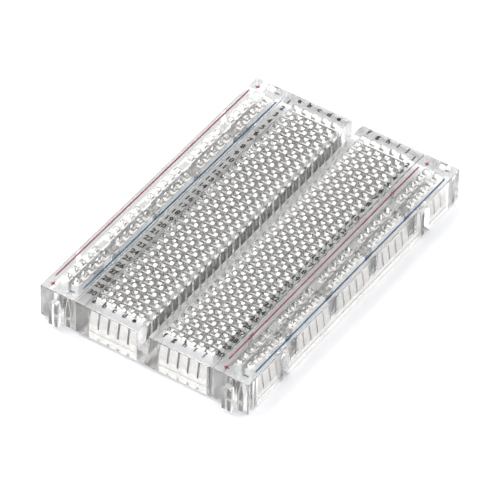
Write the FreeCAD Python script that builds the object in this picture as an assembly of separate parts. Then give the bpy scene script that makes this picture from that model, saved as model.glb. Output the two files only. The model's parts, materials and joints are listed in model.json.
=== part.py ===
import FreeCAD, Part
import math
import os

from FreeCAD import Vector

# A clear half-size solderless breadboard: a 30-row terminal strip with a power rail on each side.
# Frame: +X runs from column a to column j, +Y from row 30 to row 1, +Z up. The origin is the centre
# of the tie-point grid, on the face that lies on the bench. All dimensions are in millimetres.

# Tie-point grid
PITCH = 2.54
ROWS = 30
COLUMNS_PER_SIDE = 5
FIRST_COLUMN = 1.5 * PITCH             # columns e and f, either side of the centre line
RAIL_GROUPS = 5
HOLES_PER_GROUP = 5
RAIL_GROUP_PITCH = 6 * PITCH

# Housings
TERMINAL_WIDTH = 35.1
RAIL_WIDTH = 8.9
MODULE_GAP = 0.1                       # running clearance between neighbouring modules
NEAR_END = -41.4
FAR_END = 40.4
HOUSING_HEIGHT = 8.4
EDGE_RADIUS = 0.3
TOP_PLATE = 1.6                        # plastic over the contact pockets
CHANNEL_WIDTH = 2.8
CHANNEL_DEPTH = 5.0

# Holes in the top plate
HOLE_SIZE = 1.15
HOLE_MOUTH = 1.3
MOUTH_DEPTH = 0.15

# Pockets for the contacts, open underneath
POCKET_WIDTH = 1.74
POCKET_END = 1.15                      # from the last hole's centre to the pocket's end wall

# Contacts, bent from nickel-plated spring strip
METAL = 0.18
CONTACT_FOOT = 0.1                     # clearance between the strip and the adhesive foam
SLOT_FLOOR = 1.25                      # top of the unbroken channel that joins the fingers
FINGER_WIDTH = 2.1
FINGER_TIP_WIDTH = 2.0
CONTACT_END = 1.05                     # from the last hole's centre to the strip's end
# Half profile of a finger: distance from the strip's middle plane, and height above its foot
FINGER_PATH = ((0.75, SLOT_FLOOR), (0.75, 1.9), (0.08, 5.9), (0.7, 6.15))

# Dovetails that join the modules
DOVETAIL_NECK = 1.7
DOVETAIL_WIDTH = 2.4
DOVETAIL_REACH = 1.4
DOVETAIL_HEIGHT = 6.4
DOVETAIL_CLEARANCE = 0.1
SIDE_DOVETAIL_Y = 27.3

# Adhesive backing
LINER_THICKNESS = 0.12
FOAM_THICKNESS = 0.98
FOAM_SIDE_MARGIN = 0.2
FOAM_NEAR_END = -37.4
FOAM_FAR_END = 36.7
FOAM_RELIEF_WIDTH = 3.2                # cut-out that keeps each dovetail slot open
FOAM_RELIEF_DEPTH = 1.9

# Printed polarity lines
INK = 0.03
LINE_WIDTH = 0.32
LINE_NEAR_END = -37.2
LINE_FAR_END = 35.8
POSITIVE_LINE_X = -3.28                # from the rail's middle
NEGATIVE_LINE_X = {"left": 3.85, "right": 3.43}
SIGN_SIZE = 1.15
SIGN_STROKE = 0.3
POSITIVE_SIGN = (-2.3, -39.5, 37.6)   # from the rail's middle, then along Y at each end
NEGATIVE_SIGN = (2.5, -39.25, 38.2)

HOUSING_BASE = LINER_THICKNESS + FOAM_THICKNESS
HOUSING_TOP = HOUSING_BASE + HOUSING_HEIGHT
POCKET_CEILING = HOUSING_TOP - TOP_PLATE
RAIL_MIDDLE = TERMINAL_WIDTH / 2 + MODULE_GAP + RAIL_WIDTH / 2


def row_y(row):
    return ((ROWS + 1) / 2 - row) * PITCH


def column_x(index, side):
    """Centre of a column, index 0 being nearest the channel, on side -1 (left) or 1 (right)."""
    return side * (FIRST_COLUMN + index * PITCH)


def rail_hole_ys():
    middle_group = (RAIL_GROUPS - 1) / 2
    middle_hole = (HOLES_PER_GROUP - 1) / 2
    return [(group - middle_group) * RAIL_GROUP_PITCH + (hole - middle_hole) * PITCH
            for group in range(RAIL_GROUPS) for hole in range(HOLES_PER_GROUP)]


def block(x_range, y_range, z_range):
    size = [high - low for low, high in (x_range, y_range, z_range)]
    return Part.makeBox(*size, Vector(x_range[0], y_range[0], z_range[0]))


def moved(shape, x=0.0, y=0.0, z=0.0):
    copy = shape.copy()
    copy.translate(Vector(x, y, z))
    return copy


def polygon_face(points):
    return Part.Face(Part.makePolygon(points + points[:1]))


def square_wire(side, z):
    half = side / 2
    corners = [Vector(x, y, z) for x, y in ((-half, -half), (half, -half), (half, half), (-half, half))]
    return Part.makePolygon(corners + corners[:1])


def wire_hole():
    """One square tie-point hole with its funnel mouth, from above the top face into the pocket."""
    overlap = 0.2
    slope = (HOLE_MOUTH - HOLE_SIZE) / MOUTH_DEPTH
    mouth = Part.makeLoft([square_wire(HOLE_SIZE, HOUSING_TOP - MOUTH_DEPTH),
                           square_wire(HOLE_MOUTH + overlap * slope, HOUSING_TOP + overlap)], True)
    half = HOLE_SIZE / 2
    shaft = block((-half, half), (-half, half), (POCKET_CEILING - overlap, HOUSING_TOP - MOUTH_DEPTH))
    return mouth.fuse(shaft)


def dovetail(clearance=0.0):
    """A round-topped dovetail peg that stands out along -X from the plane x = 0, middle at y = 0."""
    neck = DOVETAIL_NECK / 2 + clearance
    width = DOVETAIL_WIDTH / 2 + clearance
    reach = DOVETAIL_REACH + clearance
    height = DOVETAIL_HEIGHT + clearance
    foot = HOUSING_BASE
    root = 0.4
    plan = [Vector(root, -neck, foot), Vector(0, -neck, foot), Vector(-reach, -width, foot),
            Vector(-reach, width, foot), Vector(0, neck, foot), Vector(root, neck, foot)]
    peg = polygon_face(plan).extrude(Vector(0, 0, height))
    crown = foot + height
    shoulder = crown - width
    left_foot = Vector(-reach, -width, foot)
    left_shoulder = Vector(-reach, -width, shoulder)
    right_shoulder = Vector(-reach, width, shoulder)
    right_foot = Vector(-reach, width, foot)
    arch = Part.Wire([Part.makeLine(left_foot, left_shoulder),
                      Part.Arc(left_shoulder, Vector(-reach, 0, crown), right_shoulder).toShape(),
                      Part.makeLine(right_shoulder, right_foot),
                      Part.makeLine(right_foot, left_foot)])
    return peg.common(Part.Face(arch).extrude(Vector(reach + root, 0, 0)))


def dovetail_slot():
    """The socket that takes a dovetail, cut into a +X face: open below and to the side."""
    below = 0.5
    slot = dovetail(DOVETAIL_CLEARANCE)
    return slot.fuse(moved(slot, z=-below))


def shell(x_range):
    """A module's outer block, with softened top and corner edges and its side dovetails."""
    body = block(x_range, (NEAR_END, FAR_END), (HOUSING_BASE, HOUSING_TOP))
    rounded = [edge for edge in body.Edges if edge.BoundBox.ZMax > HOUSING_TOP - 0.01]
    body = body.makeFillet(EDGE_RADIUS, rounded)
    pegs = [moved(dovetail(), x_range[0], y) for y in (-SIDE_DOVETAIL_Y, SIDE_DOVETAIL_Y)]
    slots = [moved(dovetail_slot(), x_range[1] + MODULE_GAP, y) for y in (-SIDE_DOVETAIL_Y, SIDE_DOVETAIL_Y)]
    return body.multiFuse(pegs).removeSplitter().cut(Part.Compound(slots))


def one_solid(shape):
    solids = shape.Solids
    if len(solids) != 1 or not shape.isValid():
        raise ValueError("expected one valid solid, found %d" % len(solids))
    return solids[0]


def terminal_strip_housing():
    half = TERMINAL_WIDTH / 2
    body = shell((-half, half))
    channel = block((-CHANNEL_WIDTH / 2, CHANNEL_WIDTH / 2), (NEAR_END - 1, FAR_END + 1),
                    (HOUSING_TOP - CHANNEL_DEPTH, HOUSING_TOP + 1))
    body = body.cut(channel)
    cutters = []
    for side in (-1, 1):
        columns = sorted(column_x(index, side) for index in range(COLUMNS_PER_SIDE))
        pocket = block((columns[0] - POCKET_END, columns[-1] + POCKET_END),
                       (-POCKET_WIDTH / 2, POCKET_WIDTH / 2), (HOUSING_BASE - 1, POCKET_CEILING))
        cutter = pocket.multiFuse([moved(wire_hole(), x) for x in columns])
        cutters += [moved(cutter, y=row_y(row)) for row in range(1, ROWS + 1)]
    return one_solid(body.cut(Part.Compound(cutters)))


def rail_pocket():
    """The pocket under one rail column: a deep well for each group of holes, joined by a low slot."""
    ys = rail_hole_ys()
    half = POCKET_WIDTH / 2
    low_slot = block((-half, half), (ys[0] - POCKET_END, ys[-1] + POCKET_END),
                     (HOUSING_BASE - 1, HOUSING_BASE + SLOT_FLOOR + 0.4))
    wells = []
    for start in range(0, len(ys), HOLES_PER_GROUP):
        group = ys[start:start + HOLES_PER_GROUP]
        wells.append(block((-half, half), (group[0] - POCKET_END, group[-1] + POCKET_END),
                           (HOUSING_BASE - 1, POCKET_CEILING)))
    return low_slot.multiFuse(wells + [moved(wire_hole(), y=y) for y in ys])


def power_rail_housing(middle_x):
    body = shell((middle_x - RAIL_WIDTH / 2, middle_x + RAIL_WIDTH / 2))
    end_peg = dovetail()
    end_peg.rotate(Vector(0, 0, 0), Vector(0, 0, 1), 90)
    end_slot = dovetail_slot()
    end_slot.rotate(Vector(0, 0, 0), Vector(0, 0, 1), 90)
    body = body.fuse(moved(end_peg, middle_x, NEAR_END)).removeSplitter()
    body = body.cut(moved(end_slot, middle_x, FAR_END + MODULE_GAP))
    pockets = [moved(rail_pocket(), middle_x + side * PITCH / 2) for side in (-1, 1)]
    return one_solid(body.cut(Part.Compound(pockets)))


def thickened(path, thickness):
    """Outline of a strip of even thickness whose outer face follows the path of (u, z) points."""
    inner = []
    for index, (u, z) in enumerate(path):
        before = path[max(index - 1, 0)]
        after = path[min(index + 1, len(path) - 1)]
        normals = []
        for start, end in ((before, (u, z)), ((u, z), after)):
            length = math.dist(start, end)
            if length > 0:
                normals.append(((start[1] - end[1]) / length, (end[0] - start[0]) / length))
        first, last = normals[0], normals[-1]
        mitre = 1 + first[0] * last[0] + first[1] * last[1]
        offset = thickness / mitre
        inner.append((u + offset * (first[0] + last[0]), z + offset * (first[1] + last[1])))
    return list(path) + inner[::-1]


def finger_pair():
    """Two facing spring fingers over x = 0, pinching together below widely flared lips."""
    foot = HOUSING_BASE + CONTACT_FOOT
    outline = [Vector(-FINGER_WIDTH / 2, y, foot + z) for y, z in thickened(FINGER_PATH, METAL)]
    strip = polygon_face(outline).extrude(Vector(FINGER_WIDTH, 0, 0))
    tip = foot + FINGER_PATH[-1][1] + METAL
    taper_start = foot + FINGER_PATH[1][1]
    reach = POCKET_WIDTH
    front = [Vector(-FINGER_WIDTH / 2, -reach, foot), Vector(FINGER_WIDTH / 2, -reach, foot),
             Vector(FINGER_WIDTH / 2, -reach, taper_start), Vector(FINGER_TIP_WIDTH / 2, -reach, tip),
             Vector(-FINGER_TIP_WIDTH / 2, -reach, tip), Vector(-FINGER_WIDTH / 2, -reach, taper_start)]
    finger = strip.common(polygon_face(front).extrude(Vector(0, 2 * reach, 0)))
    return [finger, finger.mirror(Vector(0, 0, 0), Vector(0, 1, 0))]


def contact_strip(hole_xs):
    """A contact that runs along X: a folded channel with a pair of spring fingers at each hole."""
    foot = HOUSING_BASE + CONTACT_FOOT
    outer = FINGER_PATH[0][0]
    inner = outer - METAL
    start = min(hole_xs) - CONTACT_END
    end = max(hole_xs) + CONTACT_END
    section = [(-outer, 0), (outer, 0), (outer, SLOT_FLOOR), (inner, SLOT_FLOOR),
               (inner, METAL), (-inner, METAL), (-inner, SLOT_FLOOR), (-outer, SLOT_FLOOR)]
    outline = polygon_face([Vector(start, y, foot + z) for y, z in section])
    channel = outline.extrude(Vector(end - start, 0, 0))
    fingers = [moved(finger, x) for x in hole_xs for finger in finger_pair()]
    return one_solid(channel.multiFuse(fingers).removeSplitter())


def terminal_clips(row, left_clip, right_clip):
    return Part.Compound([moved(clip, y=row_y(row)) for clip in (left_clip, right_clip)])


def rail_contact(contact, middle_x, side):
    return moved(contact, middle_x + side * PITCH / 2)


def backing_sheet(x_range, z_range):
    """One layer of the adhesive backing under a module, relieved at the dovetail slots."""
    left, right = x_range[0] + FOAM_SIDE_MARGIN, x_range[1] - FOAM_SIDE_MARGIN
    sheet = block((left, right), (FOAM_NEAR_END, FOAM_FAR_END), z_range)
    half = FOAM_RELIEF_WIDTH / 2
    reliefs = [block((right - FOAM_RELIEF_DEPTH, right + 1), (y - half, y + half), (-1, HOUSING_TOP))
               for y in (-SIDE_DOVETAIL_Y, SIDE_DOVETAIL_Y)]
    return one_solid(sheet.cut(Part.Compound(reliefs)))


def bar(middle_x, middle_y, size_x, size_y):
    return block((middle_x - size_x / 2, middle_x + size_x / 2),
                 (middle_y - size_y / 2, middle_y + size_y / 2), (HOUSING_TOP, HOUSING_TOP + INK))


def polarity_marking(middle_x, line_x, sign, crossed):
    """A rail's printed line with a minus sign, or a plus where crossed, at each end."""
    sign_x, *sign_ys = sign
    marks = [bar(middle_x + line_x, (LINE_NEAR_END + LINE_FAR_END) / 2, LINE_WIDTH,
                 LINE_FAR_END - LINE_NEAR_END)]
    for y in sign_ys:
        mark = bar(middle_x + sign_x, y, SIGN_SIZE, SIGN_STROKE)
        if crossed:
            mark = mark.fuse(bar(middle_x + sign_x, y, SIGN_STROKE, SIGN_SIZE)).removeSplitter()
        marks.append(mark)
    return Part.Compound(marks)


def build():
    nodes = {"terminal_strip_housing": terminal_strip_housing()}
    clips = [contact_strip([column_x(index, side) for index in range(COLUMNS_PER_SIDE)]) for side in (-1, 1)]
    for row in range(1, ROWS + 1):
        nodes["terminal_clips_row_%02d" % row] = terminal_clips(row, *clips)
    rail_strip = contact_strip(rail_hole_ys())
    rail_strip.rotate(Vector(0, 0, 0), Vector(0, 0, 1), 90)
    half = TERMINAL_WIDTH / 2
    footprints = {"terminal_strip": (-half, half)}
    for side, middle_x in (("left", -RAIL_MIDDLE), ("right", RAIL_MIDDLE)):
        name = "power_rail_" + side
        footprints[name] = (middle_x - RAIL_WIDTH / 2, middle_x + RAIL_WIDTH / 2)
        nodes[name + "_housing"] = power_rail_housing(middle_x)
        nodes[name + "_positive_contact"] = rail_contact(rail_strip, middle_x, -1)
        nodes[name + "_negative_contact"] = rail_contact(rail_strip, middle_x, 1)
        nodes[name + "_positive_marking"] = polarity_marking(middle_x, POSITIVE_LINE_X, POSITIVE_SIGN, True)
        negative_x = NEGATIVE_LINE_X[side]
        nodes[name + "_negative_marking"] = polarity_marking(middle_x, negative_x, NEGATIVE_SIGN, False)
    for name, footprint in footprints.items():
        nodes[name + "_release_liner"] = backing_sheet(footprint, (0.0, LINER_THICKNESS))
        nodes[name + "_foam_pad"] = backing_sheet(footprint, (LINER_THICKNESS, HOUSING_BASE))
    return nodes


os.makedirs("parts", exist_ok=True)
for node, shape in build().items():
    shape.exportStep("parts/%s.step" % node)
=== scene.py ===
import json
import math

import bmesh
import bpy
from mathutils import Matrix, Vector


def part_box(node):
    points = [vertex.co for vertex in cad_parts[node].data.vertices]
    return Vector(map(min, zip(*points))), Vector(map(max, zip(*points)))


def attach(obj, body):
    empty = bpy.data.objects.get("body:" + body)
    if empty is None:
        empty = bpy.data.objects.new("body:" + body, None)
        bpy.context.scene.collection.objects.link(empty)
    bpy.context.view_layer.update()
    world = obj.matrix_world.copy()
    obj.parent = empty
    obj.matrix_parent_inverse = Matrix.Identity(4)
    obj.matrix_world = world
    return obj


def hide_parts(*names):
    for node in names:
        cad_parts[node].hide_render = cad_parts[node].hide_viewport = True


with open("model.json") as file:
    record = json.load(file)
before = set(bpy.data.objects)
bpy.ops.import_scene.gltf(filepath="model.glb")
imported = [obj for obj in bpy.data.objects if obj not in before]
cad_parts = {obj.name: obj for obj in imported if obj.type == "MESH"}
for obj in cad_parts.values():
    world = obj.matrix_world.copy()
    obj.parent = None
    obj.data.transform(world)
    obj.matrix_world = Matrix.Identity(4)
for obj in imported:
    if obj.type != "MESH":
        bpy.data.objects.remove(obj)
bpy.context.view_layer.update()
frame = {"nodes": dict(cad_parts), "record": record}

MM = 0.001

# ---------------------------------------------------------------- places taken from the frame
ROWS = 30
COLUMN_LETTERS = "abcdefghij"
MIDDLE_INDEX = (len(COLUMN_LETTERS) - 1) / 2
top_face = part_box("terminal_strip_housing")[1].z


def middle(node):
    low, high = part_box(node)
    return (low + high) / 2


first_row_y = middle("terminal_clips_row_01").y
last_row_y = middle("terminal_clips_row_30").y
pitch = (first_row_y - last_row_y) / (ROWS - 1)


def row_y(row):
    return first_row_y - (row - 1) * pitch


def column_x(index):
    """Centre of column a (0) to j (9); the channel between e and f takes two pitches more."""
    return (index - MIDDLE_INDEX) * pitch + math.copysign(pitch, index - MIDDLE_INDEX)


# ---------------------------------------------------------------- materials
class Nodes:
    """Short calls for building one material's node tree around its Principled shader."""

    def __init__(self, name):
        self.material = bpy.data.materials.new(name)
        self.material.use_nodes = True
        self.tree = self.material.node_tree
        self.shader = self.tree.nodes["Principled BSDF"]
        coordinates = self.tree.nodes.new("ShaderNodeTexCoord")
        self.place = coordinates.outputs["Object"]

    def add(self, kind, **values):
        node = self.tree.nodes.new(kind)
        for key, value in values.items():
            setattr(node, key, value)
        return node

    def link(self, source, target):
        self.tree.links.new(source, target)

    def stretched(self, x, y, z):
        """Object coordinates in millimetres, scaled along each axis."""
        mapping = self.add("ShaderNodeMapping")
        mapping.inputs["Scale"].default_value = (x / MM, y / MM, z / MM)
        self.link(self.place, mapping.inputs["Vector"])
        return mapping.outputs["Vector"]

    def noise(self, scale, detail=3.0, stretch=(1.0, 1.0, 1.0)):
        node = self.add("ShaderNodeTexNoise")
        node.inputs["Scale"].default_value = scale
        node.inputs["Detail"].default_value = detail
        self.link(self.stretched(*stretch), node.inputs["Vector"])
        return node.outputs["Fac"]

    def ramp(self, value, low, high, start=0.35, end=0.65):
        """Maps a value to between two colours or two grey levels."""
        node = self.add("ShaderNodeValToRGB")
        for element, position, colour in zip(node.color_ramp.elements, (start, end), (low, high)):
            element.position = position
            if isinstance(colour, (int, float)):
                colour = (colour, colour, colour)
            element.color = (*colour, 1.0)
        self.link(value, node.inputs["Fac"])
        return node.outputs["Color"]

    def bump(self, height, strength, distance):
        node = self.add("ShaderNodeBump")
        node.inputs["Strength"].default_value = strength
        node.inputs["Distance"].default_value = distance
        self.link(height, node.inputs["Height"])
        self.link(node.outputs["Normal"], self.shader.inputs["Normal"])

    def set(self, **values):
        for key, value in values.items():
            self.shader.inputs[key.replace("_", " ")].default_value = value


def clear_plastic():
    n = Nodes("clear_plastic")
    n.set(IOR=1.57, Transmission_Weight=1.0)
    flow = n.noise(0.12, 2.0, (1.0, 0.25, 1.0))
    n.link(n.ramp(flow, (0.985, 0.985, 0.985), (0.998, 0.998, 0.996)), n.shader.inputs["Base Color"])
    n.link(n.ramp(n.noise(0.9, 4.0), 0.09, 0.15), n.shader.inputs["Roughness"])
    n.bump(n.noise(0.35, 2.0), 0.008, 0.02 * MM)
    return n.material


def nickel_plated_bronze():
    n = Nodes("nickel_plated_bronze")
    n.set(Metallic=1.0)
    n.link(n.ramp(n.noise(0.8, 3.0), (0.76, 0.74, 0.71), (0.87, 0.85, 0.82)), n.shader.inputs["Base Color"])
    streaks = n.noise(1.0, 4.0, (6.0, 6.0, 0.6))
    n.link(n.ramp(streaks, 0.30, 0.50), n.shader.inputs["Roughness"])
    n.bump(streaks, 0.15, 0.01 * MM)
    return n.material


def adhesive_foam():
    n = Nodes("adhesive_foam")
    cells = n.noise(6.0, 4.0)
    n.link(n.ramp(cells, (0.84, 0.84, 0.82), (0.95, 0.95, 0.94)), n.shader.inputs["Base Color"])
    n.link(n.ramp(n.noise(2.0), 0.75, 0.95), n.shader.inputs["Roughness"])
    n.bump(cells, 0.5, 0.05 * MM)
    return n.material


def liner_paper():
    n = Nodes("liner_paper")
    fibres = n.noise(3.0, 5.0, (1.0, 0.3, 1.0))
    n.link(n.ramp(fibres, (0.82, 0.79, 0.72), (0.90, 0.88, 0.82)), n.shader.inputs["Base Color"])
    n.link(n.ramp(n.noise(1.2), 0.35, 0.55), n.shader.inputs["Roughness"])
    n.bump(fibres, 0.2, 0.02 * MM)
    return n.material


def ink(name, low, high):
    n = Nodes(name)
    grain = n.noise(7.0, 4.0)
    n.link(n.ramp(grain, low, high), n.shader.inputs["Base Color"])
    n.link(n.ramp(n.noise(3.0), 0.6, 0.8), n.shader.inputs["Roughness"])
    n.bump(grain, 0.3, 0.01 * MM)
    n.set(Specular_IOR_Level=0.15)
    return n.material


materials = {
    "clear_plastic": clear_plastic(),
    "nickel_plated_bronze": nickel_plated_bronze(),
    "adhesive_foam": adhesive_foam(),
    "liner_paper": liner_paper(),
    "red_ink": ink("red_ink", (0.120, 0.002, 0.028), (0.170, 0.004, 0.042)),
    "blue_ink": ink("blue_ink", (0.001, 0.036, 0.092), (0.002, 0.054, 0.130)),
    "black_ink": ink("black_ink", (0.003, 0.003, 0.003), (0.010, 0.009, 0.009)),
}

for part in frame["record"]["subparts"]:
    node = frame["nodes"][part["node"]]
    node.data.materials.clear()
    node.data.materials.append(materials[part["material_slot"]])

# ---------------------------------------------------------------- foam pads
BOND_GAP = 0.03 * MM                    # thin gap that keeps the foam and the plastic from sharing a face
PAD_EDGE_RADIUS = 0.12 * MM
PAD_EDGE_SEGMENTS = 3
WELD_DISTANCE = 0.001 * MM
FLAT_ANGLE = math.radians(1)           # faces that meet at less than this are merged before rounding


def foam_pad(module):
    """The module's double-sided foam tape, with its cut edges slightly rounded over."""
    node = frame["nodes"][module + "_foam_pad"]
    low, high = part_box(module + "_foam_pad")
    mesh = bmesh.new()
    mesh.from_mesh(node.data)
    mesh.transform(node.matrix_world)
    bmesh.ops.remove_doubles(mesh, verts=mesh.verts, dist=WELD_DISTANCE)
    bmesh.ops.dissolve_limit(mesh, angle_limit=FLAT_ANGLE, verts=mesh.verts, edges=mesh.edges)
    for vertex in mesh.verts:
        if vertex.co.z > (low.z + high.z) / 2:
            vertex.co.z = high.z - BOND_GAP
    bmesh.ops.bevel(mesh, geom=mesh.edges[:], offset=PAD_EDGE_RADIUS,
                    segments=PAD_EDGE_SEGMENTS, affect="EDGES")
    data = bpy.data.meshes.new(module + "_foam")
    mesh.to_mesh(data)
    mesh.free()
    data.materials.append(materials["adhesive_foam"])
    piece = bpy.data.objects.new(module + "_foam", data)
    bpy.context.scene.collection.objects.link(piece)
    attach(piece, module)
    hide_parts(module + "_foam_pad")


for module in ("terminal_strip", "power_rail_left", "power_rail_right"):
    foam_pad(module)

# ---------------------------------------------------------------- printed numbers and letters
LABEL_THICKNESS = 0.02 * MM
DIGIT_HEIGHT = 1.4 * MM
LETTER_HEIGHT = 1.4 * MM
STROKE_SWELL = 0.07 * MM              # thickens the built-in font to the printed weight
CAPITAL_SHARE = 0.73                   # height of a digit in the built-in font, for size 1
PRINT_SCALE = 1.01                     # the print is drawn a little longer than the moulding under it
PRINT_SHIFT = 0.16 * MM                # and a little towards the far end
NUMBER_COLUMNS = (-16.05 * MM, 16.45 * MM)
LETTER_ROWS = (39.0 * MM, -38.9 * MM)


def printed(text, x, y, height):
    """A piece of printed text, centred at (x, y) on the top face, as a text object."""
    curve = bpy.data.curves.new("label", "FONT")
    curve.body = text
    curve.size = height / CAPITAL_SHARE
    curve.extrude = LABEL_THICKNESS / 2
    curve.offset = STROKE_SWELL
    curve.align_x = "CENTER"
    curve.align_y = "CENTER"
    curve.resolution_u = 4
    obj = bpy.data.objects.new("label", curve)
    obj.location = (x, y, top_face + LABEL_THICKNESS / 2)
    bpy.context.scene.collection.objects.link(obj)
    return obj


def legend():
    labels = [printed(str(row), x, row_y(row) * PRINT_SCALE + PRINT_SHIFT, DIGIT_HEIGHT)
              for row in range(1, ROWS + 1) for x in NUMBER_COLUMNS]
    labels += [printed(letter, column_x(index) * PRINT_SCALE, y, LETTER_HEIGHT)
               for index, letter in enumerate(COLUMN_LETTERS) for y in LETTER_ROWS]
    bpy.ops.object.select_all(action="DESELECT")
    for label in labels:
        label.select_set(True)
    bpy.context.view_layer.objects.active = labels[0]
    bpy.ops.object.convert(target="MESH")
    bpy.ops.object.join()
    piece = bpy.context.view_layer.objects.active
    piece.name = "terminal_strip_legend"
    bpy.ops.object.transform_apply(location=True, rotation=True, scale=True)
    piece.data.materials.clear()
    piece.data.materials.append(materials["black_ink"])
    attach(piece, "terminal_strip")


legend()

# ---------------------------------------------------------------- studio
FLOOR_SIZE = 3.0
SKY_TURN = (0.0, 0.7)                  # how far towards the bright side the sky is dim, then fully bright
BRIGHT_SIDE = (-0.35, 0.45, 0.82)      # direction of the brightest part of the surroundings
BRIGHT_SKY = (1.0, 1.0, 1.0)
DIM_SKY = (0.50, 0.51, 0.53)
SKY_STRENGTH = 1.9


def floor():
    bpy.ops.mesh.primitive_plane_add(size=FLOOR_SIZE)
    obj = bpy.context.active_object
    obj.name = "studio_floor"
    n = Nodes("studio_floor")
    n.link(n.ramp(n.noise(0.01), (0.78, 0.78, 0.79), (0.80, 0.80, 0.81)), n.shader.inputs["Base Color"])
    n.set(Roughness=0.8)
    obj.data.materials.append(n.material)


def sky():
    """Soft studio surroundings: bright overhead and behind the board, dimmer towards the viewer."""
    world = bpy.data.worlds.new("studio")
    bpy.context.scene.world = world
    world.use_nodes = True
    tree = world.node_tree
    background = tree.nodes["Background"]
    coordinates = tree.nodes.new("ShaderNodeTexCoord")
    towards = tree.nodes.new("ShaderNodeVectorMath")
    towards.operation = "DOT_PRODUCT"
    towards.inputs[1].default_value = BRIGHT_SIDE
    ramp = tree.nodes.new("ShaderNodeValToRGB")
    tree.links.new(coordinates.outputs["Generated"], towards.inputs[0])
    tree.links.new(towards.outputs["Value"], ramp.inputs["Fac"])
    ramp.color_ramp.elements[0].position = SKY_TURN[0]
    ramp.color_ramp.elements[0].color = (*DIM_SKY, 1.0)
    ramp.color_ramp.elements[1].position = SKY_TURN[1]
    ramp.color_ramp.elements[1].color = (*BRIGHT_SKY, 1.0)
    tree.links.new(ramp.outputs["Color"], background.inputs["Color"])
    background.inputs["Strength"].default_value = SKY_STRENGTH


def softbox(name, azimuth, elevation, distance, size, power):
    """A square soft light aimed at the object from that direction."""
    data = bpy.data.lights.new(name, "AREA")
    data.shape = "SQUARE"
    data.size = size
    data.energy = power
    obj = bpy.data.objects.new(name, data)
    a, e = math.radians(azimuth), math.radians(elevation)
    direction = Vector((math.sin(a) * math.cos(e), -math.cos(a) * math.cos(e), math.sin(e)))
    obj.location = direction * distance
    obj.rotation_euler = direction.to_track_quat("Z", "Y").to_euler()
    bpy.context.scene.collection.objects.link(obj)


VIEW_AZIMUTH = 33.19
VIEW_ELEVATION = 42.85
VIEW_ROLL = -1.29
VIEW_DISTANCE = 1.1014
LENS = 373.3
SENSOR_WIDTH = 36.0
NEAR_CLIP = 0.01
AIM = (3.74 * MM, -7.06 * MM)          # where the middle of the view meets the top face


def camera():
    data = bpy.data.cameras.new("camera")
    data.lens = LENS
    data.sensor_width = SENSOR_WIDTH
    data.clip_start = NEAR_CLIP
    obj = bpy.data.objects.new("camera", data)
    a, e = math.radians(VIEW_AZIMUTH), math.radians(VIEW_ELEVATION)
    back = Vector((math.sin(a) * math.cos(e), -math.cos(a) * math.cos(e), math.sin(e)))
    right = Vector((math.cos(a), math.sin(a), 0.0))
    right = Matrix.Rotation(math.radians(-VIEW_ROLL), 3, back) @ right
    up = back.cross(right)
    place = Vector((*AIM, top_face)) + back * VIEW_DISTANCE
    axes = Matrix((right, up, back)).transposed().to_4x4()
    obj.matrix_world = Matrix.Translation(place) @ axes
    bpy.context.scene.collection.objects.link(obj)
    bpy.context.scene.camera = obj


floor()
sky()
softbox("key_light", azimuth=-75, elevation=60, distance=0.9, size=0.5, power=2.6)
camera()

scene = bpy.context.scene
scene.view_settings.view_transform = "Standard"
scene.cycles.max_bounces = 32
scene.cycles.transmission_bounces = 32
scene.cycles.glossy_bounces = 12
scene.cycles.transparent_max_bounces = 16
